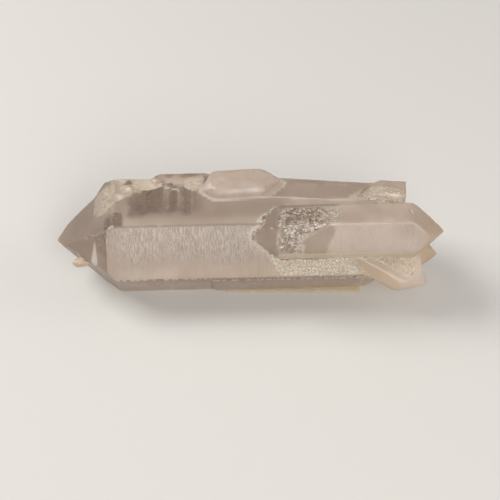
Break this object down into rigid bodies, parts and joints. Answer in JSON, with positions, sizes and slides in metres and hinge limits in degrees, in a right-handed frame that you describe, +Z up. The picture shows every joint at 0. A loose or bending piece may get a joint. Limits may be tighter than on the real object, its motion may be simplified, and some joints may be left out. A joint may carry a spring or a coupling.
{
  "type": "quartz crystal cluster",
  "caption": "Cluster of milky quartz crystals grown side by side, with pointed ends, lying on a prism face.",
  "frame": {"origin": "middle of the bounding box's underside, on the surface that the cluster lies on", "axes": "+X along the crystals' long axis towards the end with several points, -Y the side seen in the picture, +Z up"},
  "size_m": [0.0966, 0.034, 0.0267],
  "materials": {
    "quartz": "milky, clear in places, satin crystal faces"
  },
  "bodies": {
    "root": {"quartz_cluster": "quartz"}
  },
  "joints": []
}
